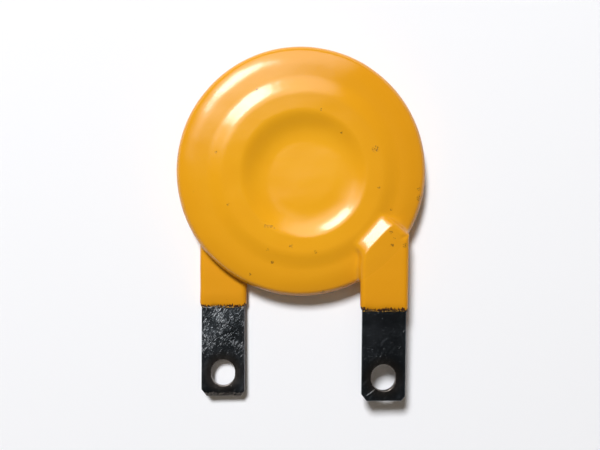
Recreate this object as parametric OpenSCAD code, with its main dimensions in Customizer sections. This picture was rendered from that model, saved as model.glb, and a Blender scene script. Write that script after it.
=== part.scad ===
// Dipped disc varistor with two stamped strap terminals.
// A zinc-oxide disc carries a silver layer and a soldered ring plate on each face.
// Each ring plate runs out through a joggled neck into a flat strap with a hole,
// and one epoxy coating follows disc, rings, necks and strap stems.
// The part lies on its back: straps towards -Y, front face up, +Z up.

/* [Ceramic] */
// Diameter of the zinc-oxide disc
ceramic_d = 33; // [31.5:0.5:34]
// Thickness of the zinc-oxide disc
ceramic_t = 2; // [1.2:0.1:4]
// Diameter of the silver layer on each face
silver_d = 31; // [29.5:0.5:31]
// Thickness of the silver layer
silver_t = 0.05; // [0.03:0.01:0.1]
// Thickness of the solder under each ring plate
solder_t = 0.15; // [0.1:0.01:0.3]
// How far the solder spreads past the plate's edges
solder_spread = 0.35; // [0.1:0.05:0.5]

/* [Terminals] */
// Thickness of the terminal sheet
sheet_t = 0.9; // [0.6:0.05:1.2]
// Outer diameter of the ring plate
ring_od = 26.8; // [25.5:0.1:27.3]
// Inner diameter of the ring plate
ring_id = 18.8; // [16:0.2:20]
// How far both terminals sit to the right of the disc's centre
plate_shift = 0.35; // [0:0.05:0.4]
// How far both terminals sit below the disc's centre
plate_drop = 0.25; // [0:0.05:0.4]
// Distance between the two straps' centre lines
pitch = 25.4; // [24.4:0.1:26]
// Width of each strap
strap_w = 6.9; // [6:0.1:7.5]
// Distance from the ring plate's centre to the strap's end
strap_reach = 35.6; // [32:0.1:42]
// Width of the neck between ring plate and strap
neck_w = 6.9; // [5.5:0.1:7.2]
// Angle at which the neck leaves the ring plate, below the horizontal
neck_angle = 42.4; // [38:0.1:46]
// Sideways shift of the neck's centre line
neck_shift = 0.4; // [0:0.1:0.8]
// Distance from the ring plate's edge to the start of the joggle
joggle_gap = 0.2; // [0.1:0.1:1.2]
// Length of the joggle, measured along the neck
joggle_run = 1.8; // [1:0.1:2.5]
// Height of the joggle, away from the ceramic
joggle_rise = 0.7; // [0.3:0.05:1.2]
// Angle by which the strap leans back towards the middle plane
strap_lean = 3; // [0.5:0.5:4]
// Width of the oblong strap hole
hole_w = 3.8; // [3:0.1:4.4]
// Extra length of the oblong strap hole along the strap
hole_extra = 0.4; // [0.1:0.1:0.8]
// Distance from the hole's centre to the strap's end
hole_inset = 3.7; // [3.3:0.1:5]
// Width of the larger cut end corner of each strap, on its left side
left_cut = 0.85; // [0.3:0.05:1.2]
// Width of the smaller cut end corner of each strap, on its right side
right_cut = 0.6; // [0.3:0.05:1.2]
// Length of a cut corner along the strap, for each millimetre of its width
cut_slope = 1.25; // [0.8:0.05:1.6]

/* [Coating] */
// Diameter of the coated disc
coat_d = 39.1; // [37.6:0.1:42]
// Coating over the middle of each silver layer
coat_floor_t = 0.85; // [0.5:0.05:1.4]
// Coating over each ring plate
coat_ring_t = 0.9; // [0.6:0.05:1.5]
// Coating over the ceramic at the shoulder of the rim
coat_shoulder_t = 0.98; // [0.6:0.02:1.1]
// Fall of the flange between ring and rim
flange_angle = 5; // [3:0.5:8]
// Width of the rounded rim
rim_w = 1.3; // [0.8:0.1:1.3]
// How far the dish inside the ring spreads from the ring plate's inner edge
dish_foot = 3.6; // [2:0.1:4.5]
// How far the outer slope spreads from the ring plate's outer edge
slope_foot = 2.8; // [2:0.1:3.2]
// How far the coating rounds over the ring plate's edges
coat_round = 1.2; // [0.8:0.1:1.6]
// How much thinner the coating is over the flat of the neck than over the ring
neck_dip = 0.1; // [0.05:0.01:0.2]
// Coating on the faces of the neck beyond its joggle
coat_neck_t = 0.5; // [0.45:0.05:0.9]
// Coating on the faces of the strap stems
coat_stem_t = 0.42; // [0.3:0.02:0.44]
// Coating on the edges of the strap stems
coat_edge_t = 0.22; // [0.1:0.01:0.4]
// Radius of the stem coating's long edges
stem_round = 0.5; // [0.2:0.05:0.7]
// Distance from the ring plate's centre to the coating's end on the strap
coat_reach = 21.4; // [20.8:0.1:25]
// Length over which the stem coating is thin, at its end
coat_lip = 1.2; // [0.5:0.1:1.3]
// Radius of the epoxy web between the rim and the underside of a stem
web_r = 1.1; // [0.6:0.1:1.3]

/* [Hidden] */

$fn = 96;
step = 18;                                      // straight pieces in each curved run of a profile
sink = 0.02;                                    // overlap of surfaces that run into each other
stem_back = 0.3;                                // overlap of a stem's coating with its joggle's

// Radii
coat_r = coat_d / 2;
shoulder_r = coat_r - rim_w;
ring_ri = ring_id / 2;
ring_ro = ring_od / 2;
dish_r = ring_ri - dish_foot;                   // where the recess floor starts to rise
slope_r = ring_ro + slope_foot;                 // where the outer slope meets the flange
plate_off = norm([plate_shift, plate_drop]);

// Straps in the plane
strap_x = pitch / 2;
strap_left = strap_x - strap_w / 2;
strap_right = strap_x + strap_w / 2;

// Heights above the middle plane
silver_z = ceramic_t / 2;
solder_z = silver_z + silver_t;
plate_z = solder_z + solder_t;
plate_top = plate_z + sheet_t;
floor_z = solder_z + coat_floor_t;
crest_z = plate_top + coat_ring_t;
shoulder_z = silver_z + coat_shoulder_t;
strap_z = plate_z + joggle_rise;
neck_top = strap_z + sheet_t + coat_neck_t;

// The part rests on its lower neck or its lower ring, and is centred on its own length
lie_z = max(crest_z, neck_top);
disc_y = (strap_reach + plate_drop - coat_r) / 2;

// The neck runs along u, which points neck_angle below +X; v points across it
joggle_start = ring_ro + joggle_gap;
bend_u = joggle_start + joggle_run;
neck_right = neck_shift + neck_w / 2;
join_u = (strap_right - neck_right * sin(neck_angle)) / cos(neck_angle);
join_y = neck_right * cos(neck_angle) - join_u * sin(neck_angle);
reach_u = strap_reach + strap_right;            // longer than any strap, measured along u

// Where a stem's middle line crosses the rim, and how far the lean has lowered it there
rim_u = strap_x * cos(neck_angle) + sqrt(coat_r * coat_r - strap_x * strap_x) * sin(neck_angle);
rim_drop = (rim_u - bend_u) * tan(strap_lean);

// Height of the flange at radius r, and the radius where it disappears under the crest
function flange_z(r) = shoulder_z + (shoulder_r - r) * tan(flange_angle);
flange_r = max(ring_ro - coat_round, shoulder_r - (crest_z - shoulder_z - 0.05) / tan(flange_angle));

module placed() translate([0, disc_y, lie_z]) children();
module seated() translate([plate_shift, -plate_drop, 0]) children();
module turned() rotate([0, 180, 0]) children();

function reversed(list) = [for (i = [len(list) - 1:-1:0]) list[i]];
function smooth(t) = t * t * (3 - 2 * t);
function mix(a, b, s) = a + (b - a) * s;

// Rise from the dished floor to the crest, slow at its foot and quickly rounded at its top
function dish_run() = [for (i = [0:step]) let (t = i / step)
    [mix(dish_r, ring_ri + coat_round, t), mix(floor_z - sink, crest_z, smooth(pow(t, 1.25)))]];

// Fall from the crest that turns smoothly into the flange's own slope
function slope_run() = [for (i = [0:step]) let (t = i / step, r = mix(ring_ro - coat_round, slope_r, t))
    [r, mix(crest_z, flange_z(r + plate_off) - sink, smooth(t))]];

// Points [u, height] of one face of the folded sheet: level, smooth joggle, leaning strap
function fold_line(z0, z1) = concat(
    [[0, z0]],
    [for (i = [0:step]) let (t = i / step) [joggle_start + joggle_run * t, mix(z0, z1, smooth(t))]],
    [[reach_u, z1 - (reach_u - bend_u) * tan(strap_lean)]]
);

// Solid between two faces of the folded sheet, wider than the whole stamping
module folded_slab(low, high) {
    rotate([0, 0, -neck_angle])
        translate([0, reach_u, 0])
            rotate([90, 0, 0])
                linear_extrude(2 * reach_u) polygon(concat(low, reversed(high)));
}

// Tilts what is drawn level at the strap's height, about the end of the joggle
module leaning() {
    rotate([0, 0, -neck_angle])
        translate([bend_u, 0, strap_z])
            rotate([0, strap_lean, 0])
                translate([-bend_u, 0, -strap_z])
                    rotate([0, 0, neck_angle]) children();
}

// Neck in the plane, from inside the ring plate to the strap; grow widens its edges
module neck_shape(grow = 0) {
    start_u = (ring_ri + ring_ro) / 2;
    rotate([0, 0, -neck_angle])
        translate([start_u, neck_shift - neck_w / 2 - grow])
            square([join_u - start_u, neck_w + 2 * grow]);
}

// Strap in the plane, with its two end corners cut
module strap_shape(inner_cut, outer_cut) {
    polygon([
        [strap_left, join_y],
        [strap_left, inner_cut * cut_slope - strap_reach],
        [strap_left + inner_cut, -strap_reach],
        [strap_right - outer_cut, -strap_reach],
        [strap_right, outer_cut * cut_slope - strap_reach],
        [strap_right, join_y]
    ]);
}

// Oblong hole in the plane: two round ends and a short straight middle
module hole_shape() {
    translate([strap_x, hole_inset - strap_reach]) {
        for (side = [-1, 1])
            translate([0, side * hole_extra / 2]) circle(d = hole_w);
        square([hole_w, hole_extra], center = true);
    }
}

// Stamped terminal: flat outline cut from the folded sheet
module stamped_terminal(inner_cut, outer_cut) {
    intersection() {
        linear_extrude(plate_top + joggle_rise)
            difference() {
                union() {
                    circle(ring_ro);
                    neck_shape();
                    strap_shape(inner_cut, outer_cut);
                }
                circle(ring_ri);
                hole_shape();
            }
        folded_slab(fold_line(plate_z, strap_z), fold_line(plate_top, strap_z + sheet_t));
    }
}

// Solder ring under one plate, wider at the silver than at the plate
module solder_ring() {
    rotate_extrude()
        polygon([
            [ring_ri - solder_spread, solder_z], [ring_ro + solder_spread, solder_z],
            [ring_ro, plate_z], [ring_ri, plate_z]
        ]);
}

module silver_layer() translate([0, 0, silver_z]) cylinder(h = silver_t, d = silver_d);

module zinc_disc() translate([0, 0, -ceramic_t / 2]) cylinder(h = ceramic_t, d = ceramic_d);

// Coated disc without its rings: level middle, sloping flange and round rim on both faces
module coated_disc() {
    upper = concat(
        [[0, floor_z], [flange_r, floor_z], [flange_r, flange_z(flange_r)]],
        [for (i = [0:step]) let (a = 90 * i / step)
            [shoulder_r + rim_w * sin(a), shoulder_z * cos(a)]]
    );
    lower = [for (i = [len(upper) - 2:-1:0]) [upper[i][0], -upper[i][1]]];
    rotate_extrude($fn = 180) polygon(concat(upper, lower));
}

// Coating raised over one ring plate
module raised_ring() {
    rotate_extrude($fn = 180)
        polygon(concat([[dish_r, 0]], dish_run(), slope_run(), [[slope_r, 0]]));
}

// Coating over one neck, level with the ring up to the joggle and raised beyond it
module coated_neck() {
    intersection() {
        linear_extrude(neck_top) neck_shape(coat_edge_t);
        folded_slab(
            fold_line(plate_z - coat_neck_t, strap_z - coat_neck_t),
            fold_line(crest_z - neck_dip, neck_top)
        );
    }
}

// Section of a stem's coating: a rectangle with round corners
module stem_section(cover) {
    w = strap_w + 2 * coat_edge_t;
    h = sheet_t + 2 * cover;
    r = min(stem_round, h / 2.2);
    square([w - 2 * r, h], center = true);
    square([w, h - 2 * r], center = true);
    for (x = [r - w / 2, w / 2 - r], y = [r - h / 2, h / 2 - r])
        translate([x, y]) circle(r, $fn = 48);
}

// Coating round one strap stem, thinner at its end; it starts just behind the joggle's end
module coated_stem() {
    intersection() {
        leaning()
            for (part = [[coat_stem_t, coat_reach - coat_lip], [coat_stem_t / 2, coat_reach]])
                translate([strap_x, join_y, strap_z + sheet_t / 2])
                    rotate([90, 0, 0])
                        linear_extrude(part[1] + join_y) stem_section(part[0]);
        rotate([0, 0, -neck_angle])
            translate([bend_u - stem_back, -reach_u, 0])
                cube([reach_u, 2 * reach_u, 2 * neck_top]);
    }
}

// Epoxy web that fills the corner between the rim and the underside of a stem;
// the stem lies on the left for side = -1
module web(side) {
    low = strap_z - coat_stem_t - rim_drop + sink;
    intersection() {
        translate([side * strap_x + plate_shift - strap_w / 2, -coat_reach, 0])
            cube([strap_w, coat_reach, low]);
        rotate_extrude()
            polygon(concat(
                [[shoulder_r, low], [shoulder_r, 0], [coat_r, 0]],
                [for (i = [0:step]) let (a = 180 - 90 * i / step)
                    [coat_r + web_r * (1 + cos(a)), low + web_r * (sin(a) - 1)]]
            ));
    }
}

// Solid blank of the whole coating
module coating_blank() {
    coated_disc();
    web(1);
    mirror([0, 0, 1]) web(-1);
    seated()
        for (flip = [0, 180])
            rotate([0, flip, 0]) {
                raised_ring();
                coated_neck();
                coated_stem();
            }
}

// Silver, solder and terminal of the front, and the same of the back turned over.
// The larger cut corner is on the left on both straps, so it is the inner one in front.
module front_parts() {
    silver_layer();
    seated() {
        solder_ring();
        stamped_terminal(left_cut, right_cut);
    }
}

module back_parts() {
    turned() silver_layer();
    seated()
        turned() {
            solder_ring();
            stamped_terminal(right_cut, left_cut);
        }
}

module coating() {
    color("goldenrod")
        placed()
            difference() {
                coating_blank();
                zinc_disc();
                front_parts();
                back_parts();
            }
}

module ceramic_disc() color([0.17, 0.18, 0.19]) placed() zinc_disc();

module front_electrode() color([0.82, 0.82, 0.8]) placed() silver_layer();

module back_electrode() color([0.82, 0.82, 0.8]) placed() turned() silver_layer();

module front_solder() color([0.62, 0.63, 0.65]) placed() seated() solder_ring();

module back_solder() color([0.62, 0.63, 0.65]) placed() seated() turned() solder_ring();

module front_terminal() {
    color([0.2, 0.21, 0.23])
        placed() seated() stamped_terminal(left_cut, right_cut);
}

module back_terminal() {
    color([0.2, 0.21, 0.23])
        placed() seated() turned() stamped_terminal(right_cut, left_cut);
}

coating();
ceramic_disc();
front_electrode();
back_electrode();
front_solder();
back_solder();
front_terminal();
back_terminal();
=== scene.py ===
import math

import bpy
import numpy as np
from mathutils import Matrix, Vector
from mathutils.geometry import delaunay_2d_cdt


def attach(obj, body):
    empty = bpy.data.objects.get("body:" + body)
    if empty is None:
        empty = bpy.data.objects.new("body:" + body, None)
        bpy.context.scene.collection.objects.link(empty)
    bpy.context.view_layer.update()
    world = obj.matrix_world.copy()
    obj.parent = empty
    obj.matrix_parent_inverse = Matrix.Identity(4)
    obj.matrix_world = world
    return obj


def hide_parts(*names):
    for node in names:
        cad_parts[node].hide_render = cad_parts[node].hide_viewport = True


# Dipped disc varistor lying on its back: coated disc, two stamped strap terminals.
# Shapes are worked out in millimetres in the disc's own frame and put down in metres.

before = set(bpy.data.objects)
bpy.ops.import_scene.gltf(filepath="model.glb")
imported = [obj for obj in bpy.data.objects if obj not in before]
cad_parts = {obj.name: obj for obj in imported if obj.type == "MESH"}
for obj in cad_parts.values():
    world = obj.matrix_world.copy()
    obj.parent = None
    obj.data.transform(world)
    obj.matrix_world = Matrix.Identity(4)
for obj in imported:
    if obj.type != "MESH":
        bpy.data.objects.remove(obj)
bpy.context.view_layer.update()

MM = 0.001

# The disc's place in the frame, and how far the terminals sit off its middle
DISC_Y = 8.15
LIE_Z = 3.3                             # the disc's middle plane over the table
SHIFT = 0.35                            # to the right
DROP = 0.25                             # towards the straps

# Coated disc; heights are over its middle plane
COAT_R = 19.55
RIM_W = 0.85                            # width of the rim's round
SHOULDER_R = COAT_R - RIM_W
FLOOR_Z = 1.9                           # dished middle
CREST_Z = 2.86                          # raised ring
FLANGE_Z = 2.36
RISE_START = 3.7
RISE_END = 10.0
RISE_POWER = 2.3                        # above 1, the rise is steepest near its end
CREST_R = 11.2                          # inside it the rise holds, outside it the fall
FALL_START = 12.1
FALL_RUN = 3.1
SLOPE_START = 15.1
SLOPE_BEND = 0.35                       # how gradually the flange's slope sets in
SLOPE = 0.033                           # fall over each SLOPE_BEND
DROOP_START = 16.2
DROOP = 0.0432                          # fall over the first millimetre, then by the square

# The coating is thickest on one side of the ring. These are added there, taken off opposite.
THICK_WAY = math.radians(126.0)
THICK_CREST = 0.14
THICK_FLOOR = -0.028                    # for each millimetre from the middle
THICK_FLOOR_R = 5.0                     # and no further than this
THICK_START = 0.7
THICK_END = -0.1
THICK_POWER = -0.8
THICK_FALL = -0.22
THICK_SLOPE = -0.008

# Stamped terminals, in the ring plate's own frame
RING_RI = 9.4
RING_RO = 13.4
PLATE_Z = 1.2
SHEET_T = 0.9
STRAP_X = 12.7
STRAP_W = 6.9
STRAP_REACH = 35.6
NECK_W = 6.9
NECK_SHIFT = 0.4
NECK_ANGLE = math.radians(42.4)
JOGGLE_START = 13.6
JOGGLE_RUN = 1.8
JOGGLE_RISE = 0.7
STRAP_LEAN = math.tan(math.radians(3.0))
HOLE_W = 3.8
HOLE_EXTRA = 0.4
HOLE_INSET = 3.7
LEFT_CUT = 0.85
RIGHT_CUT = 0.6
CUT_SLOPE = 1.25
EDGE_ROLL = 0.14                        # round of the sheet's upper edges
EDGE_BURR = 0.08                        # round of its lower edges

BEND_U = JOGGLE_START + JOGGLE_RUN
NECK_COS = math.cos(NECK_ANGLE)
NECK_SIN = math.sin(NECK_ANGLE)
STRAP_LEFT = STRAP_X - STRAP_W / 2
STRAP_RIGHT = STRAP_X + STRAP_W / 2
NECK_RIGHT = NECK_SHIFT + NECK_W / 2
NECK_LEFT = NECK_SHIFT - NECK_W / 2
JOIN_U = (STRAP_RIGHT - NECK_RIGHT * NECK_SIN) / NECK_COS
JOIN_Y = NECK_RIGHT * NECK_COS - JOIN_U * NECK_SIN

# Coating over the necks and stems; u runs along a neck, v across it
COAT_REACH = 21.4
NECK_START = 11.6
NECK_GROW = 0.22                        # past the neck's edges
STEM_GROW = 0.30                        # past the strap's edges, and less at the end
END_GROW = 0.12
STEM_COVER = 0.45                       # over the strap's faces, and less at the end
END_COVER = 0.12
UNDER_COVER = 0.5
TOP_Z = PLATE_Z + JOGGLE_RISE + SHEET_T + 0.49
TOP_SINK = 0.41                         # how far the neck's top starts below the crest
TOP_START = 12.9
TOP_RUN = 2.5
CROWN_DROP = 0.22                       # how much lower the neck's top is along its edges
CROWN_V = 1.7
CROWN_RUN = 1.9
CROWN_END = 14.6
CROWN_FADE = 1.6
LEAN_START = 15.0
FULL_START = 2.4                        # from the end, where the thin stem starts to fill out
FULL_RUN = 2.6
EDGE_ROUND = 0.9
ROUND_SHARE = 0.93                      # of half the thickness, at most
MIN_HALF = 0.3                          # half the coated stem's least thickness
GROW_LEAD = 0.1                         # at its end the stem widens over GROW_RUN
GROW_RUN = 0.9
PLAN_FILLET = 0.6

# Fillets between disc and stems: on the ring, on the flange, and in the corner under a stem
RING_FILLET = 0.4
FLANGE_FILLET = 1.5
FILLET_START = 14.9
FILLET_RUN = 2.8
UNDER_FILLET = 2.4
UNDER_Z = 0.2                           # below this the corner's fillet sets in

# Unevenness: the ends of the coating, its skin, and the stamping's rounded edges
FRONT_LIP = 1.5                         # length over which each stem thins to its end
BACK_LIP = 2.4
END_ASKEW = 0.035
END_WAVES = ((5.1, 0.09), (2.3, 0.05), (0.83, 0.035), (0.47, 0.045))
SKIN_WAVE = 0.018
SKIN_WAVE_SIZE = 9.0
SKIN_GRAIN = 0.006
SKIN_GRAIN_SIZE = 2.6
EDGE_WAVE = 0.18
EDGE_WAVE_TURN = 0.21
EDGE_GRAIN = 0.1

# Lattice on which the coating's skin is found
LATTICE_LOW = (-20.2, -22.2, -3.75)
LATTICE_HIGH = (20.2, 20.2, 3.75)
CELL = 0.212
SLOPE_REACH = 0.01                      # step by which a field's slope is measured
RELAX_PASSES = 4
LAST_PASSES = 3

# Points on the stamping's loops, and the step along its straight edges
RIM_POINTS = 220
RING_POINTS = 144
HOLE_POINTS = 96
EDGE_STEP = 0.35
BEND_ROWS = 14                          # extra points over the joggle, along and across the neck
BEND_LINES = 8
BEND_MARGIN = 0.3                       # past the joggle's ends
SIDE_MARGIN = 0.6                       # in from the neck's edges


# ---------------------------------------------------------------- whole-array helpers

def soft_step(t):
    """Smooth step: 3t^2 - 2t^3 between 0 and 1, level outside."""
    t = np.clip(t, 0.0, 1.0)
    return t * t * (3.0 - 2.0 * t)


def mix(a, b, s):
    """Straight blend from a to b."""
    return a + (b - a) * s


def soft_union(a, b, k):
    """Lower of two fields, with a round fillet about k wide where they are nearly equal."""
    h = np.maximum(k - np.abs(a - b), 0.0) / k
    return np.minimum(a, b) - h * h * k * 0.25


def waves(x, y, z, size, count, seed):
    """Uneven surface, mostly between -1 and 1: the sum of sine waves with seeded directions and
    phases, whose length lies round size, over the root of their number."""
    rng = np.random.default_rng(seed)
    total = np.zeros(np.broadcast(x, y, z).shape)
    for _ in range(count):
        way = rng.normal(size=3)
        way *= 2.0 * math.pi / (size * rng.uniform(0.7, 1.5) * np.linalg.norm(way))
        total = total + np.sin(x * way[0] + y * way[1] + z * way[2] + rng.uniform(0.0, 6.283))
    return total / math.sqrt(count)


# ---------------------------------------------------------------- the coating's form

def face_height(x, y):
    """Height of one coated face over the middle plane, from the middle outwards: a nearly level
    floor; a smooth step of a power of the way to the crest over the ring plate; a smooth step
    down; the flange's slope, which sets in gradually; and a droop that grows by the square.
    The ring's centre sits SHIFT right of and DROP below the disc's. Towards the thick side the
    crest is higher, the floor lower, and the rise starts later and fills out sooner."""
    r = np.minimum(np.hypot(x, y), COAT_R + 0.5)
    q = np.minimum(np.hypot(x - SHIFT, y + DROP), COAT_R + 0.5)
    thick = np.cos(np.arctan2(y + DROP, x - SHIFT) - THICK_WAY)
    crest = CREST_Z + THICK_CREST * thick
    floor = FLOOR_Z + THICK_FLOOR * np.minimum(q, THICK_FLOOR_R) * thick
    start = RISE_START + THICK_START * thick
    end = RISE_END + THICK_END * thick
    rise = np.clip((q - start) / (end - start), 0.0, 1.0)
    inner = mix(floor, crest, soft_step(rise ** (RISE_POWER + THICK_POWER * thick)))
    fall = soft_step((q - FALL_START) / FALL_RUN) * (crest - FLANGE_Z + THICK_FALL * thick)
    slope = (SLOPE + THICK_SLOPE * thick) * np.log1p(np.exp((q - SLOPE_START) / SLOPE_BEND))
    droop = DROOP * np.maximum(r - DROOP_START, 0.0) ** 2
    return np.where(q < CREST_R, inner, crest - fall - slope - droop)


def disc_field(x, y, z):
    """Below 0 inside the coated disc: the height over the middle plane against the face's
    height, turned through an elliptic quarter round outside the shoulder."""
    h = face_height(x, y)
    out = np.maximum(np.hypot(x, y) - SHOULDER_R, 0.0) / RIM_W
    return h * (np.sqrt(out ** 2.0 + (z / h) ** 2 + 1e-9) - 1.0)


def box_edge(px, py, x0, x1, y0, y1):
    """Distance in the plane to a rectangle's edge, below 0 inside."""
    dx = np.maximum(x0 - px, px - x1)
    dy = np.maximum(y0 - py, py - y1)
    return np.minimum(np.maximum(dx, dy), 0.0) + np.hypot(np.maximum(dx, 0.0), np.maximum(dy, 0.0))


def fold_height(u, low, high):
    """Height along the neck: low up to the joggle, a smooth step to high, then a slow fall
    because the strap leans back."""
    t = (u - JOGGLE_START) / JOGGLE_RUN
    lean = np.maximum(u - BEND_U, 0.0) * STRAP_LEAN
    return mix(low, high, soft_step(t)) - lean


def end_line(x, seed):
    """Where the coating stops on a strap, against the distance across the strap: straight,
    a little askew, with a ragged edge made of sine waves of END_WAVES' sizes and depths."""
    rng = np.random.default_rng(seed)
    line = -COAT_REACH + END_ASKEW * (x - STRAP_X) * rng.uniform(-1.2, 1.2)
    for size, depth in END_WAVES:
        line = line + depth * np.sin(x * 6.283 / size + rng.uniform(0.0, 6.283))
    return line


def stem_field(x, y, z, lip_run, seed):
    """Below 0 inside one coated neck and stem: a slab with rounded edges over the neck's and
    the strap's plan. Its lower face follows the fold below the sheet. Its upper face rises
    straight from below the crest to the stem's height, lies lower along the neck's edges, and
    leans back with the strap. Near the ragged end both faces close in on the sheet, and over
    lip_run the coating thins to the end by a square."""
    u = x * NECK_COS - y * NECK_SIN
    v = x * NECK_SIN + y * NECK_COS
    end = end_line(x, seed)
    to_end = y - end
    lip = 1.0 - (1.0 - np.clip(to_end / lip_run, 0.0, 1.0)) ** 2
    grow = mix(END_GROW, STEM_GROW, soft_step((to_end + GROW_LEAD) / GROW_RUN))
    neck = box_edge(u, v, NECK_START, JOIN_U, NECK_LEFT - NECK_GROW, NECK_RIGHT + NECK_GROW)
    stem = box_edge(x, y, STRAP_LEFT - grow, STRAP_RIGHT + grow, end, JOIN_Y)
    plan = soft_union(neck, stem, PLAN_FILLET)
    sheet_low = fold_height(u, PLATE_Z, PLATE_Z + JOGGLE_RISE)
    cover = mix(END_COVER, STEM_COVER, lip)
    top = mix(CREST_Z - TOP_SINK, TOP_Z, np.clip((u - TOP_START) / TOP_RUN, 0.0, 1.0))
    crown = np.clip((np.abs(v - NECK_SHIFT) - CROWN_V) / CROWN_RUN, 0.0, 1.0) ** 2
    top = top - CROWN_DROP * crown * (1.0 - soft_step((u - CROWN_END) / CROWN_FADE))
    top = np.minimum(top, TOP_Z + 0.02 - np.maximum(u - LEAN_START, 0.0) * STRAP_LEAN)
    full = soft_step((to_end - FULL_START) / FULL_RUN)
    top = mix(sheet_low + SHEET_T + cover, top, full)
    low = sheet_low - mix(cover, UNDER_COVER, full)
    half = np.maximum((top - low) / 2, MIN_HALF)
    height = np.abs(z - (top + low) / 2) - half
    round_r = np.minimum(EDGE_ROUND, half * ROUND_SHARE)
    a = plan + round_r
    b = height + round_r
    inside = np.minimum(np.maximum(a, b), 0.0)
    return inside + np.hypot(np.maximum(a, 0.0), np.maximum(b, 0.0)) - round_r


def coating_field(x, y, z):
    """Below 0 inside the whole coating, in the disc's frame: the disc, and the front and the
    back stem (the same turned half round), joined by fillets, with a slightly uneven skin."""
    body = disc_field(x, y, z)
    front = stem_field(x - SHIFT, y + DROP, z, FRONT_LIP, seed=11)
    back = stem_field(SHIFT - x, y + DROP, -z, BACK_LIP, seed=23)
    k = mix(RING_FILLET, FLANGE_FILLET, soft_step((np.hypot(x, y) - FILLET_START) / FILLET_RUN))
    front_k = mix(k, UNDER_FILLET, soft_step(UNDER_Z - z))
    back_k = mix(k, UNDER_FILLET, soft_step(z + UNDER_Z))
    skin = SKIN_WAVE * waves(x, y, z, SKIN_WAVE_SIZE, count=10, seed=5)
    skin = skin + SKIN_GRAIN * waves(x, y, z, SKIN_GRAIN_SIZE, count=14, seed=6)
    return soft_union(soft_union(body, front, front_k), back, back_k) - skin


# ---------------------------------------------------------------- skin of a field

def edge_crossings(f):
    """For each cell of a lattice of values, the sum of the places at which its twelve edges
    cross 0, in cells from its low corner, and the number of crossings."""
    shape = tuple(n - 1 for n in f.shape)
    total = np.zeros(shape + (3,), np.float32)
    count = np.zeros(shape, np.float32)
    for axis in range(3):
        others = [a for a in range(3) if a != axis]
        for i in (0, 1):
            for j in (0, 1):
                first = [slice(None)] * 3
                first[axis] = slice(0, -1)
                first[others[0]] = slice(i, f.shape[others[0]] - 1 + i)
                first[others[1]] = slice(j, f.shape[others[1]] - 1 + j)
                second = list(first)
                second[axis] = slice(1, None)
                fa = f[tuple(first)]
                fb = f[tuple(second)]
                cross = (fa < 0.0) != (fb < 0.0)
                total[..., axis] += np.where(cross, fa / np.where(cross, fa - fb, 1.0), 0.0)
                total[..., others[0]] += np.where(cross, i, 0.0)
                total[..., others[1]] += np.where(cross, j, 0.0)
                count += cross
    return total, count


def joined_cells(inside, index):
    """Quads of the net: every lattice edge that crosses the surface joins the vertices of the
    four cells round it, in the order that faces outwards."""
    quads = []
    for axis, (b, c) in enumerate(((1, 2), (2, 0), (0, 1))):
        first = [slice(1, -1)] * 3
        first[axis] = slice(0, -1)
        second = list(first)
        second[axis] = slice(1, None)
        ia = inside[tuple(first)]
        ib = inside[tuple(second)]
        edges = np.argwhere(ia != ib)
        edges[:, b] += 1
        edges[:, c] += 1
        leaving = ia[ia != ib]
        ring = []
        for db, dc in ((-1, -1), (0, -1), (0, 0), (-1, 0)):
            at = edges.copy()
            at[:, b] += db
            at[:, c] += dc
            ring.append(index[at[:, 0], at[:, 1], at[:, 2]])
        ring = np.stack(ring, 1)
        quads.append(np.where(leaving[:, None], ring, ring[:, ::-1]))
    return np.concatenate(quads)


def field_slope(field, p):
    """Change of a field per millimetre along each axis, measured over a short step."""
    slopes = []
    for axis in range(3):
        step = np.zeros(3)
        step[axis] = SLOPE_REACH
        ahead = field(*(p + step).T)
        behind = field(*(p - step).T)
        slopes.append((ahead - behind) / (2 * SLOPE_REACH))
    return np.stack(slopes, 1)


def drawn_on(field, p, cell):
    """Points moved along the slope to where the field is 0, by half a cell at most."""
    g = field_slope(field, p)
    away = field(*p.T)
    move = g * (away / np.maximum((g * g).sum(1), 1e-6))[:, None]
    far = np.linalg.norm(move, axis=1)[:, None]
    return p - move * np.minimum(1.0, 0.5 * cell / np.maximum(far, 1e-9))


def neighbours_mean(points, ends):
    """For each point, the mean of the points with which it shares an edge."""
    near = np.zeros_like(points)
    many = np.zeros(len(points))
    for a, b in ((0, 1), (1, 0)):
        for k in range(3):
            near[:, k] += np.bincount(ends[:, a], points[ends[:, b], k], len(points))
        many += np.bincount(ends[:, a], minlength=len(points))
    return near / many[:, None]


def net_surface(field, low, high, cell):
    """Skin of a field's inside, as quads. Every cell of a cubic lattice whose corners lie on
    both sides gets one vertex at the mean of its edges' crossings. The vertices are then drawn
    onto the exact surface and moved half way to their neighbours' mean, several times over,
    and drawn on again at last."""
    axes = [np.arange(lo, hi + cell, cell) for lo, hi in zip(low, high)]
    gx, gy, gz = np.meshgrid(*axes, indexing="ij", sparse=True)
    f = field(gx, gy, gz).astype(np.float32)
    total, count = edge_crossings(f)
    used = count > 0
    index = np.full(used.shape, -1, np.int64)
    index[used] = np.arange(int(used.sum()))
    points = (np.argwhere(used) + total[used] / count[used][:, None]) * cell + np.array(low)
    quads = joined_cells(f < 0.0, index)
    ends = np.concatenate([quads[:, [0, 1]], quads[:, [1, 2]], quads[:, [2, 3]], quads[:, [3, 0]]])
    for _ in range(RELAX_PASSES):
        points = drawn_on(field, points, cell)
        points = mix(points, neighbours_mean(points, ends), 0.5)
    for _ in range(LAST_PASSES):
        points = drawn_on(field, points, cell)
    return points, quads


# ---------------------------------------------------------------- the stamped terminals

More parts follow.
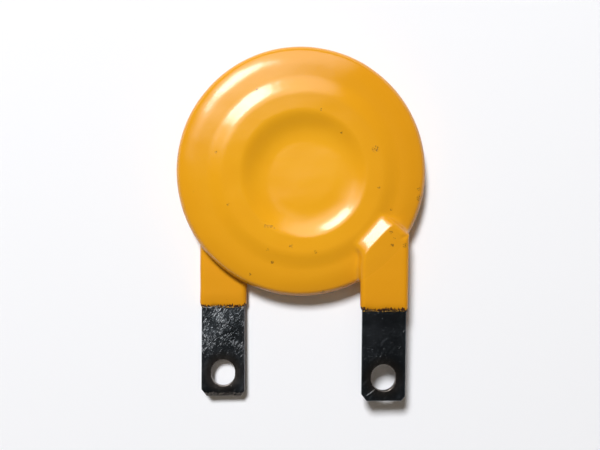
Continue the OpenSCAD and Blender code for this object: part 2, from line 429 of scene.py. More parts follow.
def strap_outline(inner_cut, outer_cut):
    """Plan of one terminal as a dense loop, counter-clockwise: the ring plate's arc from one
    neck edge round to the other, the neck's edges, and the strap with its cut corners."""
    def on_ring(v):
        """Angle at which the ring's rim meets the neck's edge at v."""
        return math.atan2(v, math.sqrt(RING_RO ** 2 - v * v)) - NECK_ANGLE

    def off_neck(u, v):
        """Point of the neck's own frame in the plate's."""
        return (u * NECK_COS + v * NECK_SIN, -u * NECK_SIN + v * NECK_COS)

    t = np.linspace(on_ring(NECK_RIGHT), on_ring(NECK_LEFT) + 2 * math.pi, RIM_POINTS)
    arc = np.stack([RING_RO * np.cos(t), RING_RO * np.sin(t)], 1)
    left_u = (STRAP_LEFT - NECK_LEFT * NECK_SIN) / NECK_COS
    corners = np.array([
        arc[-1],
        off_neck(left_u, NECK_LEFT),
        (STRAP_LEFT, inner_cut * CUT_SLOPE - STRAP_REACH),
        (STRAP_LEFT + inner_cut, -STRAP_REACH),
        (STRAP_RIGHT - outer_cut, -STRAP_REACH),
        (STRAP_RIGHT, outer_cut * CUT_SLOPE - STRAP_REACH),
        off_neck(JOIN_U, NECK_RIGHT),
        arc[0],
    ])
    pieces = [arc[:-1]]
    for a, b in zip(corners[:-1], corners[1:]):
        n = max(2, int(np.linalg.norm(b - a) / EDGE_STEP))
        pieces.append(mix(a, b, np.linspace(0.0, 1.0, n, endpoint=False)[:, None]))
    return np.concatenate(pieces)


def hole_loop():
    """Oblong strap hole as a clockwise loop: two half circles with a short straight middle."""
    t = np.linspace(0.0, 2 * math.pi, HOLE_POINTS, endpoint=False)
    side = np.where(np.sin(t) >= 0.0, 1.0, -1.0) * HOLE_EXTRA / 2
    x = STRAP_X + HOLE_W / 2 * np.cos(t)
    y = HOLE_INSET - STRAP_REACH + HOLE_W / 2 * np.sin(t) + side
    return np.stack([x, y], 1)[::-1]


def ring_loop():
    """The ring plate's opening as a clockwise loop."""
    t = np.linspace(0.0, 2 * math.pi, RING_POINTS, endpoint=False)
    return np.stack([RING_RI * np.cos(t), RING_RI * np.sin(t)], 1)[::-1]


def inset_ways(loop):
    """For each point of a loop, the way into the material, as long as a mitred corner needs."""
    ahead = np.roll(loop, -1, 0) - loop
    ahead /= np.linalg.norm(ahead, axis=1)[:, None]
    behind = np.roll(ahead, 1, 0)
    n1 = np.stack([-ahead[:, 1], ahead[:, 0]], 1)
    n0 = np.stack([-behind[:, 1], behind[:, 0]], 1)
    both = n0 + n1
    return both / np.maximum(0.5, (1.0 + (n0 * n1).sum(1)))[:, None]


def inside_loop(p, loop):
    """Even-odd test of points against a closed loop."""
    a = loop
    b = np.roll(loop, -1, 0)
    px = p[:, 0][:, None]
    py = p[:, 1][:, None]
    crosses = (a[:, 1] > py) != (b[:, 1] > py)
    rise = np.where(np.abs(b[:, 1] - a[:, 1]) < 1e-12, 1e-12, b[:, 1] - a[:, 1])
    at = a[:, 0] + (py - a[:, 1]) / rise * (b[:, 0] - a[:, 0])
    return (crosses & (px < at)).sum(1) % 2 == 1


def flat_cover(loops):
    """Triangles between an outer loop and its openings, with a grid of extra points over the
    joggle, where the sheet bends."""
    u = np.linspace(JOGGLE_START - BEND_MARGIN, BEND_U + BEND_MARGIN, BEND_ROWS)
    v = np.linspace(NECK_LEFT + SIDE_MARGIN, NECK_RIGHT - SIDE_MARGIN, BEND_LINES)
    gu, gv = np.meshgrid(u, v)
    extra = np.stack([gu * NECK_COS + gv * NECK_SIN, -gu * NECK_SIN + gv * NECK_COS], -1).reshape(-1, 2)
    points = np.concatenate(list(loops) + [extra])
    edges = []
    start = 0
    for loop in loops:
        k = np.arange(len(loop))
        edges.append(np.stack([start + k, start + (k + 1) % len(loop)], 1))
        start += len(loop)
    edges = np.concatenate(edges)
    made = delaunay_2d_cdt([Vector(p) for p in points], [tuple(e) for e in edges.tolist()], [], 0, 1e-7)
    tri = np.array(made[2])
    middle = points[tri].mean(1)
    keep = inside_loop(middle, loops[0])
    for loop in loops[1:]:
        keep &= ~inside_loop(middle, loop)
    return points, tri[keep]


def rounded_walls(loop, profile, base, rng):
    """Wall along one loop: a row of points for each step of the profile, moved into the
    material and set at its height, and the quads between the rows. The insets are slightly
    uneven. base is the number of points that come before."""
    ways = inset_ways(loop)
    n = len(loop)
    wavy = np.sin(np.arange(n) * EDGE_WAVE_TURN + rng.uniform(0, 6))
    uneven = 1.0 + EDGE_WAVE * wavy + EDGE_GRAIN * rng.normal(size=n)
    rows = []
    for inset, height in profile:
        at = loop + ways * (inset * (uneven[:, None] if 0 < inset else 1.0))
        rows.append(np.column_stack([at, np.full(n, height)]))
    k = np.arange(n)
    quads = []
    for row in range(len(profile) - 1):
        a = base + row * n + k
        b = base + row * n + (k + 1) % n
        quads.append(np.stack([a, b, b + n, a + n], 1))
    return rows, np.concatenate(quads)


def stamped_plate(inner_cut, outer_cut, roll, burr, seed):
    """One terminal, blanked from sheet: each loop of its plan carries a quarter round of radius
    roll on its upper edge, a straight wall and a small round of radius burr on its lower edge;
    the flats between are covered by triangles, and the whole is bent by the fold."""
    rng = np.random.default_rng(seed)
    turn = np.linspace(0.0, math.pi / 2, 5)
    upper = [(roll * (1 - math.cos(a)), SHEET_T - roll * (1 - math.sin(a))) for a in turn]
    lower = [(burr * (1 - math.cos(a)), burr * (1 - math.sin(a))) for a in turn]
    profile = lower[::-1] + upper
    verts = []
    walls = []
    base = 0
    tops = []
    lows = []
    for loop in (strap_outline(inner_cut, outer_cut), ring_loop(), hole_loop()):
        rows, quads = rounded_walls(loop, profile, base, rng)
        verts += rows
        walls.append(quads)
        lows.append((base, rows[0][:, :2]))
        tops.append((base + (len(rows) - 1) * len(loop), rows[-1][:, :2]))
        base += len(rows) * len(loop)
    faces = [np.concatenate(walls)]
    for ends, height, upward in ((tops, SHEET_T, True), (lows, 0.0, False)):
        points, tri = flat_cover([loop for _, loop in ends])
        index = np.concatenate([first + np.arange(len(loop)) for first, loop in ends])
        more = len(points) - len(index)
        verts.append(np.column_stack([points[len(index):], np.full(more, height)]))
        index = np.concatenate([index, base + np.arange(more)])
        base += more
        tri = index[tri]
        faces.append(tri if upward else tri[:, ::-1])
    p = np.concatenate(verts)
    u = p[:, 0] * NECK_COS - p[:, 1] * NECK_SIN
    p[:, 2] += fold_height(u, PLATE_Z, PLATE_Z + JOGGLE_RISE)
    return p, faces


# ---------------------------------------------------------------- putting meshes down

def put_down(name, points, faces, material, smooth_angle=None):
    """Makes a mesh object from points in millimetres in the disc's frame. Edges sharper than
    smooth_angle stay sharp."""
    p = (np.asarray(points) + np.array([0.0, DISC_Y, LIE_Z])) * MM
    mesh = bpy.data.meshes.new(name)
    faces = faces if isinstance(faces, list) else [faces]
    mesh.from_pydata(p.tolist(), [], [q for f in faces for q in f.tolist()])
    mesh.validate()
    mesh.materials.append(material)
    mesh.polygons.foreach_set("use_smooth", np.ones(len(mesh.polygons), bool))
    if smooth_angle is not None:
        mesh.set_sharp_from_angle(angle=math.radians(smooth_angle))
    mesh.update()
    piece = bpy.data.objects.new(name, mesh)
    bpy.context.scene.collection.objects.link(piece)
    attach(piece, "root")
    return piece


# ---------------------------------------------------------------- material helpers

def new_material(name):
    """Empty node material with its Principled shader and output."""
    material = bpy.data.materials.new(name)
    material.use_nodes = True
    tree = material.node_tree
    tree.nodes.clear()
    shader = tree.nodes.new("ShaderNodeBsdfPrincipled")
    out = tree.nodes.new("ShaderNodeOutputMaterial")
    tree.links.new(shader.outputs["BSDF"], out.inputs["Surface"])
    return material, tree, shader


def place(tree, kind, **values):
    """Adds a node and sets its properties and, by socket name or number, its inputs."""
    node = tree.nodes.new(kind)
    for key, value in values.items():
        if key == "inputs":
            for socket, content in value.items():
                if isinstance(content, bpy.types.NodeSocket):
                    tree.links.new(content, node.inputs[socket])
                else:
                    node.inputs[socket].default_value = content
        else:
            setattr(node, key, value)
    return node


def remap(tree, value, a, b, c=0.0, d=1.0, smooth=False):
    """Clamped map of a value from the range a..b to c..d."""
    node = place(tree, "ShaderNodeMapRange",
                 inputs={"Value": value, "From Min": a, "From Max": b, "To Min": c, "To Max": d})
    if smooth:
        node.interpolation_type = "SMOOTHSTEP"
    return node.outputs["Result"]


def math_node(tree, operation, a, b=0.5):
    """One arithmetic node."""
    return place(tree, "ShaderNodeMath", operation=operation, inputs={0: a, 1: b}).outputs[0]


def product(tree, first, *others):
    """All the values multiplied."""
    for other in others:
        first = math_node(tree, "MULTIPLY", first, other)
    return first


def highest(tree, first, *others):
    """The highest of the values."""
    for other in others:
        first = math_node(tree, "MAXIMUM", first, other)
    return first


def weighted(tree, operation, a, share_a, b, share_b):
    """Sum or difference of two values, each times its share."""
    return math_node(tree, operation, product(tree, a, share_a), product(tree, b, share_b))


def noise(tree, vector, scale, detail, **more):
    """Cloudy noise of a scale per metre, about 0.5 in the mean."""
    inputs = {"Vector": vector, "Scale": scale, "Detail": detail, **more}
    return place(tree, "ShaderNodeTexNoise", inputs=inputs).outputs["Fac"]


def object_place(tree):
    """The point in the object's own coordinates, and its three parts."""
    where = place(tree, "ShaderNodeTexCoord").outputs["Object"]
    return where, place(tree, "ShaderNodeSeparateXYZ", inputs={0: where}).outputs


def joined(tree, x, y, z):
    """Vector of three values."""
    return place(tree, "ShaderNodeCombineXYZ", inputs={0: x, 1: y, 2: z}).outputs[0]


def scaled(tree, vector, by):
    """Vector with each of its parts multiplied."""
    return place(tree, "ShaderNodeVectorMath", operation="MULTIPLY", inputs={0: vector, 1: by}).outputs[0]


def distance(tree, a, b):
    """Distance between two points."""
    return place(tree, "ShaderNodeVectorMath", operation="DISTANCE", inputs={0: a, 1: b}).outputs["Value"]


def tint(tree, share, a, b):
    """Colour mix by share."""
    node = place(tree, "ShaderNodeMix", data_type="RGBA", inputs={"Factor": share})
    for socket, content in (("A", a), ("B", b)):
        target = [s for s in node.inputs if s.name == socket and s.type == "RGBA"][0]
        if isinstance(content, bpy.types.NodeSocket):
            tree.links.new(content, target)
        else:
            target.default_value = (*content, 1.0)
    return [s for s in node.outputs if s.type == "RGBA"][0]


def bumped(tree, shader, height, strength, depth):
    """Gives the shader a surface of small bumps."""
    bump = place(tree, "ShaderNodeBump", inputs={"Height": height, "Strength": strength, "Distance": depth})
    tree.links.new(bump.outputs["Normal"], shader.inputs["Normal"])


# ---------------------------------------------------------------- shared effects

def new_group(name, **sockets):
    """Empty effect group with the named inputs and one mask as its output."""
    group = bpy.data.node_groups.new(name, "ShaderNodeTree")
    for socket, kind in sockets.items():
        group.interface.new_socket(socket, in_out="INPUT", socket_type=kind)
    group.interface.new_socket("Mask", in_out="OUTPUT", socket_type="NodeSocketFloat")
    given = group.nodes.new("NodeGroupInput").outputs
    mask = group.nodes.new("NodeGroupOutput").inputs["Mask"]
    return group, given, mask


def spots_group():
    """Shared effect: rough-edged dots inside a round patch on a face. Share is the part of the
    patch that they cover, and Scale sets their size."""
    group, given, mask = new_group(
        "dots_in_patch", Vector="NodeSocketVector", Centre="NodeSocketVector", Radius="NodeSocketFloat",
        Scale="NodeSocketFloat", Share="NodeSocketFloat")
    off = place(group, "ShaderNodeVectorMath", operation="SUBTRACT",
                inputs={0: given["Vector"], 1: given["Centre"]}).outputs[0]
    flat = scaled(group, off, (1.0, 1.0, 0.1))
    away = place(group, "ShaderNodeVectorMath", operation="LENGTH", inputs={0: flat}).outputs["Value"]
    inside = remap(group, math_node(group, "DIVIDE", away, given["Radius"]), 0.6, 1.0, 1.0, 0.0, True)
    grain = noise(group, given["Vector"], given["Scale"], 3.0)
    level = math_node(group, "SUBTRACT", 1.0, given["Share"])
    dots = remap(group, grain, level, math_node(group, "ADD", level, 0.05), 0.0, 1.0, True)
    group.links.new(product(group, inside, dots), mask)
    return group


def pinholes_group():
    """Shared effect: lone round pits strewn at random, in a share of all the cells."""
    group, given, mask = new_group(
        "lone_pits", Vector="NodeSocketVector", Scale="NodeSocketFloat", Size="NodeSocketFloat",
        Share="NodeSocketFloat")
    cells = place(group, "ShaderNodeTexVoronoi", inputs={"Vector": given["Vector"], "Scale": given["Scale"]})
    pick = place(group, "ShaderNodeSeparateColor", inputs={0: cells.outputs["Color"]}).outputs["Red"]
    kept = math_node(group, "LESS_THAN", pick, given["Share"])
    near = math_node(group, "DIVIDE", cells.outputs["Distance"], given["Size"])
    group.links.new(product(group, kept, remap(group, near, 0.6, 1.0, 1.0, 0.0, True)), mask)
    return group


def use_group(tree, group, **inputs):
    """Adds a group node with its inputs set by name and returns its mask."""
    node = tree.nodes.new("ShaderNodeGroup")
    node.node_tree = group
    for name, content in inputs.items():
        if isinstance(content, bpy.types.NodeSocket):
            tree.links.new(content, node.inputs[name])
        else:
            node.inputs[name].default_value = content
    return node.outputs["Mask"]


# ---------------------------------------------------------------- amber epoxy

AMBER = (0.815, 0.362, 0.0085)
AMBER_PALE = (0.85, 0.398, 0.011)
AMBER_PAINTED_SHADE = (0.735, 0.308, 0.0075)
AMBER_BACK_STEM_SHADE = (0.66, 0.285, 0.0075)
AMBER_END_THIN_AND_SHADED = (0.66, 0.27, 0.0075)
PINHOLE_DIRT = (0.13, 0.06, 0.012)
SCORCHED = (0.075, 0.028, 0.012)
STRAY_EPOXY = (0.80, 0.42, 0.06)
PAINTED_LIGHT_MIDDLE = (-2.5, -1.5)              # the brightest place of the painted light falloff on the front face
PAINTED_LIGHT_R = 7.0                            # distances from there: painted light up to the first, and
PAINTED_SHADE_R = 23.0                          # the darker painted shade from the second on
FACE_Z = 2.4                            # about the front face's height
END_Y = DISC_Y - DROP - COAT_REACH      # where the coating stops on the straps
TONE_SCALE = 90.0
SKIN_SCALE = 700.0
DIRT_SHARE = 0.8
PATCH_GROW = 1.3                        # patch of dots over its stated radius
DOT_SCALE = 5500.0
DOT_SHARE = 0.49
PIT_SCALE = 420.0
PIT_SIZE = 0.045
PIT_SHARE = 0.10
STEM_SHADE_R = 19.4                      # distances from the disc's middle at which the painted
DULL_R = 18.9                           # shade on the left stem and the rim's dullness set in
RIM_RUN = 0.5
TEETH_SCALE = 3800.0
TEETH_SHORT = 0.1
TEETH_LONG = 0.75
FACE_ROUGH = 0.16
RIM_ROUGH = 0.32
FACE_SHINE = 0.5
RIM_SHINE = 0.2
EPOXY_IOR = 1.52

# Dirty pinhole clusters on the front face: x, y, radius in millimetres
DIRTY_SPOTS = (
    (11.45, 3.5, 0.50), (12.0, -2.4, 0.22), (14.0, -5.8, 0.22), (18.45, -4.0, 0.45), (18.35, -2.6, 0.28),
    (-11.2, -5.1, 0.22), (-13.1, 2.9, 0.2), (3.0, 9.5, 0.2), (-19.2, 2.7, 0.22), (-19.25, 2.2, 0.2),
    (-19.25, 1.6, 0.2), (-19.3, 0.9, 0.2), (-5.45, -8.4, 0.22), (-4.95, -8.45, 0.2), (-4.5, -8.5, 0.22),
    (-4.0, -8.7, 0.16), (-1.5, -11.5, 0.3), (2.3, -12.4, 0.24), (-5.1, -12.1, 0.2), (-4.4, -14.1, 0.24),
    (-7.85, -16.0, 0.24), (3.5, -18.85, 0.38), (13.9, -9.3, 0.3), (14.1, -11.3, 0.28), (16.1, -11.3, 0.36),
    (14.4, -10.2, 0.2), (6.2, 6.0, 0.18), (-6.8, 12.5, 0.18),
)


def on_face(x, y):
    """Place on the front face, in the disc's frame in millimetres, as a point in metres."""
    return (x * MM, (y + DISC_Y) * MM, (LIE_Z + FACE_Z) * MM)


def pinhole_dirt(tree, where):
    """Mask of the dirty clusters and of lone pits all over."""
    dots = spots_group()
    masks = [
        use_group(tree, dots, Vector=where, Centre=on_face(x, y), Radius=radius * PATCH_GROW * MM,
                  Scale=DOT_SCALE, Share=DOT_SHARE)
        for x, y, radius in DIRTY_SPOTS
    ]
    strewn = use_group(tree, pinholes_group(), Vector=where, Scale=PIT_SCALE, Size=PIT_SIZE, Share=PIT_SHARE)
    return highest(tree, *masks, strewn)


def epoxy_material():
    """Glossy amber dipping epoxy: painted light falloff, palest left of the front's middle; painted
    shade on the back stem; darker towards its ends, partly thinner coat, partly painted shade;
    with a fine skin, dirty pinholes, and short scorched teeth where it stops on the straps. The rim is
    duller."""
    material, tree, shader = new_material("amber_dipping_epoxy")
    where, parts = object_place(tree)
    broad = noise(tree, where, TONE_SCALE, 3.0)
    colour = tint(tree, remap(tree, broad, 0.3, 0.7), AMBER, AMBER_PALE)
    # Painted light falloff: palest a little left of the middle, darker out to the rim and stems, for light
    # that falls stronger from the left; partly the deeper look of the thinner coat
    away = distance(tree, where, on_face(*PAINTED_LIGHT_MIDDLE))
    colour = tint(tree, remap(tree, away, PAINTED_LIGHT_R * MM, PAINTED_SHADE_R * MM, 0.0, 1.0, True), colour, AMBER_PAINTED_SHADE)
    dirt = pinhole_dirt(tree, where)
    colour = tint(tree, product(tree, dirt, DIRT_SHARE), colour, PINHOLE_DIRT)

    radius = distance(tree, scaled(tree, where, (1.0, 1.0, 0.0)), (0.0, DISC_Y * MM, 0.0))
    # Painted shade on the back (left) stem, which lies low under the disc's rim and gets less light
    on_left = math_node(tree, "LESS_THAN", parts["X"], 0.0)
    back_stem_shade = remap(tree, radius, STEM_SHADE_R * MM, (STEM_SHADE_R + RIM_RUN) * MM, 0.0, 0.5, True)
    colour = tint(tree, product(tree, on_left, back_stem_shade), colour, AMBER_BACK_STEM_SHADE)
    # Darker towards where the coating stops: partly the thinner coat over the dark sheet, partly painted
    # shade where the stem's face bends down to its end
    lower = remap(tree, parts["Y"], (END_Y + 0.3) * MM, (END_Y + 4.0) * MM, 0.6, 0.0, True)
    colour = tint(tree, lower, colour, AMBER_END_THIN_AND_SHADED)
    teeth = noise(tree, scaled(tree, where, (1.0, 0.2, 0.2)), TEETH_SCALE, 2.0)
    reach = remap(tree, teeth, 0.36, 0.64, (END_Y + TEETH_SHORT) * MM, (END_Y + TEETH_LONG) * MM)
    colour = tint(tree, math_node(tree, "LESS_THAN", parts["Y"], reach), colour, SCORCHED)
    tree.links.new(colour, shader.inputs["Base Color"])

    rim = remap(tree, radius, DULL_R * MM, (DULL_R + RIM_RUN) * MM, 0.0, 1.0, True)
    tree.links.new(remap(tree, rim, 0.0, 1.0, FACE_ROUGH, RIM_ROUGH), shader.inputs["Roughness"])
    tree.links.new(remap(tree, rim, 0.0, 1.0, FACE_SHINE, RIM_SHINE), shader.inputs["Specular IOR Level"])
    shader.inputs["IOR"].default_value = EPOXY_IOR
    skin = noise(tree, where, SKIN_SCALE, 3.0)
    bumped(tree, shader, math_node(tree, "SUBTRACT", skin, dirt), 0.12, 0.1 * MM)
    return material


# ---------------------------------------------------------------- tinned sheet

TIN_PAINTED_DARK = (0.10, 0.118, 0.132)
TIN_PAINTED_GREY = (0.15, 0.172, 0.195)
TIN_FLECK = (0.56, 0.58, 0.60)
TIN_SCRATCH = (0.50, 0.52, 0.54)
TIN_EDGE_HIGHLIGHT = (0.24, 0.24, 0.26)
HOLE_STAIN = (0.19, 0.14, 0.10)
WORN_BROWN = (0.30, 0.26, 0.23)
TIP_Y = DISC_Y - DROP - STRAP_REACH
HOLE_Y = TIP_Y + HOLE_INSET
HOLE_R = HOLE_W / 2
HOLE_SQUASH = 0.93                      # brings an oblong rim to an even distance
FLECK_SIDE = 0.77                       # slant of flecks and scratches
FLECK_UP = 0.64
FLECK_SCALE = 5400.0
FLECK_DRAWN = 0.3                       # squeeze along the slant, which draws marks out
SCRATCH_SCALE = 2600.0
SCRATCH_DRAWN = 0.12
MOTTLE_SCALE = 250.0
PATCH_SCALE = 380.0
BARE_LEVEL = 0.68                       # level that a fleck's noise must pass, where flecks
FULL_LEVEL = 0.50                       # are rare and where they are dense
WORN_SCALE = 2200.0
WORN_RING = 0.55
STAIN_START = 0.1                       # from the hole's rim
STAIN_END = 1.8
DROP_SCALE = 7500.0
DROP_REACH = 0.4                        # stray epoxy lies this far past the coating's end
STREAK_SIDE = 0.8                       # slant of the long scratch below the right hole
STREAK_DOWN = 0.6
STREAK_RUN = 1.95


def on_slant(tree, parts):
    """Distances across and along the slant of the flecks."""
    across = weighted(tree, "SUBTRACT", parts["X"], FLECK_SIDE, parts["Y"], FLECK_UP)
    along = weighted(tree, "ADD", parts["X"], FLECK_UP, parts["Y"], FLECK_SIDE)
    return across, along


def fleck_limit(tree, where, parts, on_left):
    """Level that the feathery noise must pass to show as a fleck: low in patches, on the left
    strap and above the holes."""
    high = remap(tree, parts["Y"], (HOLE_Y + 1.0) * MM, (HOLE_Y + 4.0) * MM, 0.0, 1.0, True)
    patch = noise(tree, where, PATCH_SCALE, 3.0)
    cover = product(
        tree,
        remap(tree, patch, 0.36, 0.58, 0.5, 1.0, True),
        remap(tree, on_left, 0.0, 1.0, 0.45, 1.0),
        remap(tree, high, 0.0, 1.0, 0.3, 1.0),
    )
    return remap(tree, cover, 0.0, 1.0, BARE_LEVEL, FULL_LEVEL)


def long_scratch(tree, parts, feather):
    """Mask of one broken scratch that runs down to the left from the right strap's hole."""
    right = math_node(tree, "SUBTRACT", (STRAP_X + SHIFT - 1.15) * MM, parts["X"])
    down = math_node(tree, "SUBTRACT", (HOLE_Y - 1.7) * MM, parts["Y"])
    run = weighted(tree, "ADD", right, STREAK_SIDE, down, STREAK_DOWN)
    aside = weighted(tree, "SUBTRACT", down, STREAK_SIDE, right, STREAK_DOWN)
    started = math_node(tree, "GREATER_THAN", run, 0.0)
    going = math_node(tree, "LESS_THAN", run, STREAK_RUN * MM)
    thin = remap(tree, math_node(tree, "ABSOLUTE", aside), 0.03 * MM, 0.13 * MM, 1.0, 0.0)
    broken = remap(tree, feather, 0.44, 0.58, 0.1, 1.0)
    return product(tree, started, going, thin, broken)


def near_hole(tree, where):
    """Distance to the middle of the nearer strap hole."""
    flat = scaled(tree, where, (1.0, HOLE_SQUASH, 0.0))
    away = [
        distance(tree, flat, ((side * STRAP_X + SHIFT) * MM, HOLE_Y * HOLE_SQUASH * MM, 0.0))
        for side in (1.0, -1.0)
    ]
    return math_node(tree, "MINIMUM", *away)


def worn_places(tree, where, parts, on_left, near, feather):
    """Mask of the speckled worn places: the straps' tips, more on the left, and the holes'
    rims, with ragged edges."""
    ragged = noise(tree, where, WORN_SCALE, 4.0)
    tip = remap(tree, parts["Y"], (TIP_Y + 0.3) * MM, (TIP_Y + 1.2) * MM, 1.0, 0.0, True)
    tip = product(tree, tip, remap(tree, on_left, 0.0, 1.0, 0.55, 1.0))
    rim = remap(tree, near, HOLE_R * MM, (HOLE_R + WORN_RING) * MM, 0.8, 0.0, True)
    worn = math_node(tree, "ADD", highest(tree, tip, rim), ragged)
    worn = remap(tree, worn, 1.08, 1.42, 0.0, 0.85, True)
    return product(tree, worn, remap(tree, feather, 0.4, 0.58, 0.45, 1.0, True))


def tinned_material():
    """Glossy tinned sheet, its colour painted near black for the dark room it mirrors: feathery pale
    flecks, fine scratches, stained and worn hole rims, worn tips, a painted highlight along the left strap's
    inner edge, and stray epoxy where the coating stops."""
    material, tree, shader = new_material("tinned_sheet_painted_dark")
    where, parts = object_place(tree)
    on_left = remap(tree, parts["X"], -1.0 * MM, 1.0 * MM, 1.0, 0.0)
    # The sheet's colour is painted near black, for the dark room that the shiny tin mirrors; the noise
    # varies it at random
    broad = noise(tree, where, MOTTLE_SCALE, 4.0)
    colour = tint(tree, remap(tree, broad, 0.35, 0.65), TIN_PAINTED_DARK, TIN_PAINTED_GREY)

    across, along = on_slant(tree, parts)
    slanted = joined(tree, across, product(tree, along, FLECK_DRAWN), parts["Z"])
    feather = noise(tree, slanted, FLECK_SCALE, 4.0, Roughness=0.65, Distortion=1.0)
    limit = fleck_limit(tree, where, parts, on_left)
    fleck = remap(tree, math_node(tree, "SUBTRACT", feather, limit), 0.0, 0.14, 0.0, 1.0)
    colour = tint(tree, fleck, colour, TIN_FLECK)

    drawn = joined(tree, across, product(tree, along, SCRATCH_DRAWN), parts["Z"])
    line = noise(tree, drawn, SCRATCH_SCALE, 2.0, Distortion=0.6)
    scratch = remap(tree, line, 0.63, 0.74, 0.0, 0.16)
    scratch = highest(tree, scratch, long_scratch(tree, parts, feather))
    colour = tint(tree, scratch, colour, TIN_SCRATCH)

    near = near_hole(tree, where)
    stain = remap(tree, near, (HOLE_R + STAIN_START) * MM, (HOLE_R + STAIN_END) * MM, 0.55, 0.0, True)
    colour = tint(tree, stain, colour, HOLE_STAIN)
    # Painted highlight: a lighter strip along the left strap's inner edge, where its side mirrors the bright
    # table
    inner_x = SHIFT - STRAP_LEFT
    inner_edge_highlight = remap(tree, parts["X"], (inner_x - 0.5) * MM, (inner_x - 0.2) * MM)
    colour = tint(tree, product(tree, on_left, inner_edge_highlight, 0.7), colour, TIN_EDGE_HIGHLIGHT)
    worn = worn_places(tree, where, parts, on_left, near, feather)
    colour = tint(tree, worn, colour, WORN_BROWN)

    fringe = remap(tree, parts["Y"], (END_Y - DROP_REACH) * MM, END_Y * MM)
    drop_limit = remap(tree, fringe, 0.0, 1.0, 1.3, 0.6)
    drop = math_node(tree, "GREATER_THAN", noise(tree, where, DROP_SCALE, 2.0), drop_limit)
    colour = tint(tree, drop, colour, STRAY_EPOXY)
    tree.links.new(colour, shader.inputs["Base Color"])

    bare = math_node(tree, "SUBTRACT", 1.0, highest(tree, drop, scratch, product(tree, fleck, 0.4)))
    tree.links.new(bare, shader.inputs["Metallic"])
    rough = highest(
        tree,
        product(tree, worn, 0.55),
        product(tree, fleck, 0.5),
        remap(tree, broad, 0.3, 0.7, 0.17, 0.27),
    )
    tree.links.new(rough, shader.inputs["Roughness"])
    bumped(tree, shader, weighted(tree, "ADD", feather, 0.5, fleck, 0.5), 0.35, 0.04 * MM)
    return material


# ---------------------------------------------------------------- inner pieces

def inner_material(name, low, high, scale, metallic, roughness):
    """Mottled material for an inner piece: two colours, roughness and bumps by one noise."""
    material, tree, shader = new_material(name)
    where = place(tree, "ShaderNodeTexCoord").outputs["Object"]
    spots = noise(tree, where, scale, 5.0)
    colour = tint(tree, remap(tree, spots, 0.35, 0.65), low, high)
    tree.links.new(colour, shader.inputs["Base Color"])
    shader.inputs["Metallic"].default_value = metallic
    rough = remap(tree, spots, 0.3, 0.7, roughness - 0.07, roughness + 0.07)
    tree.links.new(rough, shader.inputs["Roughness"])
    bumped(tree, shader, spots, 0.2, 0.05 * MM)
    return material


# ---------------------------------------------------------------- pieces

epoxy = epoxy_material()
tinned = tinned_material()

cell = CELL
points, quads = net_surface(coating_field, LATTICE_LOW, LATTICE_HIGH, cell)
coating = put_down("dipped_coating", points, quads, epoxy)
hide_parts("coating")

for name, node, cuts, turned, seed in (
    ("front_stamping", "front_terminal", (LEFT_CUT, RIGHT_CUT), False, 3),
    ("back_stamping", "back_terminal", (RIGHT_CUT, LEFT_CUT), True, 4),
):
    points, faces = stamped_plate(*cuts, EDGE_ROLL, EDGE_BURR, seed)
    if turned:
        points = points * np.array([-1.0, 1.0, -1.0])
    points = points + np.array([SHIFT, -DROP, 0.0])
    piece = put_down(name, points, faces, tinned, 40.0)
    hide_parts(node)

ceramic = inner_material("fired_zinc_oxide", (0.022, 0.024, 0.026), (0.05, 0.052, 0.055),
                         scale=1500.0, metallic=0.0, roughness=0.62)
silver = inner_material("fired_silver", (0.66, 0.65, 0.62), (0.8, 0.79, 0.76),
                        scale=2500.0, metallic=1.0, roughness=0.42)
solder = inner_material("reflowed_solder", (0.36, 0.37, 0.38), (0.52, 0.53, 0.54),
                        scale=700.0, metallic=1.0, roughness=0.3)
for node, material in (
    ("ceramic_disc", ceramic),
    ("front_electrode", silver),
    ("front_solder", solder),
    ("back_electrode", silver),
    ("back_solder", solder),
):
    mesh = bpy.data.objects[node].data
    mesh.materials.clear()
    mesh.materials.append(material)


# ---------------------------------------------------------------- table, lamps and camera

TABLE_HALF = 0.9
TABLE_WHITE = (0.92, 0.925, 0.94, 1.0)
KEY_COLOUR = (0.985, 1.0, 1.03)
GLOW_COLOUR = (1.0, 0.99, 0.98, 1.0)
FILL_COLOUR = (1.0, 0.86, 0.70, 1.0)
GLOW = 3.3
SENSOR_W = 36.0
LENS_RATIO = 771.4 / 600.0              # focal length over the picture's width
CAMERA_PLACE = Vector((-0.11, 4.12, 125.0))
CAMERA_LEAN = math.radians(-2.03)
CAMERA_ROLL = math.radians(0.25)


def table_top():
    """White table: a large level square under the part."""
    mesh = bpy.data.meshes.new("table_top")
    corners = [(-1, -1), (1, -1), (1, 1), (-1, 1)]
    mesh.from_pydata([(x * TABLE_HALF, y * TABLE_HALF, 0.0) for x, y in corners], [], [(0, 1, 2, 3)])
    table = bpy.data.objects.new("table_top", mesh)
    bpy.context.scene.collection.objects.link(table)
    material, _, shader = new_material("white_table")
    shader.inputs["Base Color"].default_value = TABLE_WHITE
    shader.inputs["Roughness"].default_value = 0.7
    mesh.materials.append(material)


def sheet_lamp(name, shape, way, away, wide, long, energy):
    """Sheet of light at a height over the part in the given direction, turned to face it. Its
    width and length are stated as shares of the distance from the part."""
    way = Vector(way)
    height = away / way.length
    data = bpy.data.lights.new(name, "AREA")
    data.shape = shape
    data.size = wide * height
    data.size_y = long * height
    data.energy = energy
    lamp = bpy.data.objects.new(name, data)
    lamp.location = way * height
    lamp.rotation_euler = way.to_track_quat("Z", "Y").to_euler()
    bpy.context.scene.collection.objects.link(lamp)
    return lamp


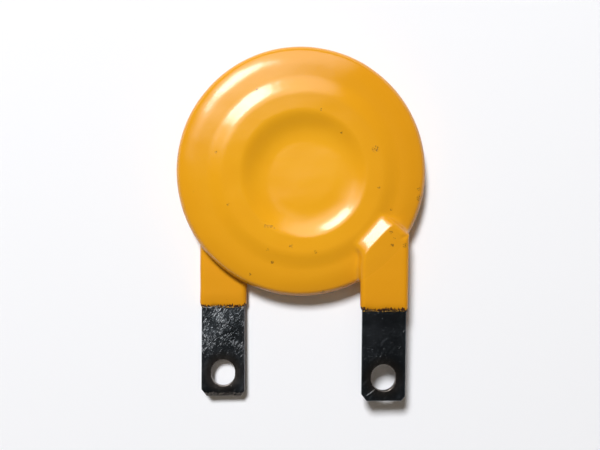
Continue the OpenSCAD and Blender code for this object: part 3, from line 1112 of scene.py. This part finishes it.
def lamps():
    """Key lamp for light and shadows alone, and an elliptic gleam that shows in reflections
    alone."""
    key = sheet_lamp("key_sheet", "RECTANGLE", (-0.23, 0.62, 1.0), away=1.1, wide=0.24, long=0.25,
                     energy=13.3)
    key.data.color = KEY_COLOUR
    key.visible_glossy = False
    gleam = sheet_lamp("gleam_sheet", "ELLIPSE", (-0.33, 0.50, 1.0), away=0.75, wide=0.37, long=0.24,
                       energy=1.9)
    gleam.visible_diffuse = False


def glow_mask(tree, way):
    """Mask of a soft patch of the room, upper left of overhead, with a sharp, slanted right
    edge. Places are taken on a level plane overhead: across and along over up."""
    up = math_node(tree, "MAXIMUM", way["Z"], 0.05)
    across = math_node(tree, "DIVIDE", way["X"], up)
    along = math_node(tree, "DIVIDE", way["Y"], up)
    beyond = math_node(tree, "MAXIMUM", math_node(tree, "SUBTRACT", along, 0.25), 0.0)
    right = math_node(tree, "SUBTRACT", across, product(tree, beyond, 0.6))
    return product(
        tree,
        remap(tree, across, -0.8, -0.4, 0.0, 1.0, True),
        remap(tree, right, -0.05, 0.09, 1.0, 0.0, True),
        remap(tree, along, 0.03, 0.26, 0.0, 1.0, True),
        remap(tree, along, 0.9, 1.5, 1.0, 0.0, True),
    )


def room():
    """Surroundings. Reflections see a broad glow and a faint light that is stronger low round
    the sides; other light is a warm fill, nearly all of it from overhead."""
    world = bpy.data.worlds.new("room")
    bpy.context.scene.world = world
    world.use_nodes = True
    tree = world.node_tree
    tree.nodes.clear()
    where = place(tree, "ShaderNodeTexCoord").outputs["Generated"]
    way = place(tree, "ShaderNodeSeparateXYZ", inputs={0: where}).outputs
    glow = product(tree, glow_mask(tree, way), GLOW)
    shine = math_node(tree, "ADD", glow, remap(tree, way["Z"], 0.5, 0.9, 0.2, 0.05, True))
    fill = remap(tree, way["Z"], 0.84, 0.97, 0.045, 0.5, True)
    shiny = place(tree, "ShaderNodeBackground", inputs={"Color": GLOW_COLOUR, "Strength": shine})
    soft = place(tree, "ShaderNodeBackground", inputs={"Color": FILL_COLOUR, "Strength": fill})
    seen = place(tree, "ShaderNodeLightPath").outputs["Is Glossy Ray"]
    back = place(tree, "ShaderNodeMixShader", inputs={0: seen, 1: soft.outputs[0], 2: shiny.outputs[0]})
    out = place(tree, "ShaderNodeOutputWorld")
    tree.links.new(back.outputs[0], out.inputs["Surface"])


def fixed_camera():
    """Camera nearly straight above, leaning two degrees and rolled a quarter of one."""
    data = bpy.data.cameras.new("camera")
    data.sensor_fit = "HORIZONTAL"
    data.sensor_width = SENSOR_W
    data.lens = LENS_RATIO * SENSOR_W
    data.clip_start = 0.01
    data.clip_end = 10.0
    camera = bpy.data.objects.new("camera", data)
    back = Vector((0.0, -math.sin(CAMERA_LEAN), math.cos(CAMERA_LEAN)))
    up = Vector((0.0, math.cos(CAMERA_LEAN), math.sin(CAMERA_LEAN)))
    right = Vector((1.0, 0.0, 0.0))
    rolled_right = right * math.cos(CAMERA_ROLL) + up * math.sin(CAMERA_ROLL)
    rolled_up = up * math.cos(CAMERA_ROLL) - right * math.sin(CAMERA_ROLL)
    turn = Matrix((rolled_right, rolled_up, back)).transposed().to_4x4()
    camera.matrix_world = Matrix.Translation(CAMERA_PLACE * MM) @ turn
    bpy.context.scene.collection.objects.link(camera)
    bpy.context.scene.camera = camera


table_top()
lamps()
room()
fixed_camera()
bpy.context.scene.view_settings.view_transform = "Standard"
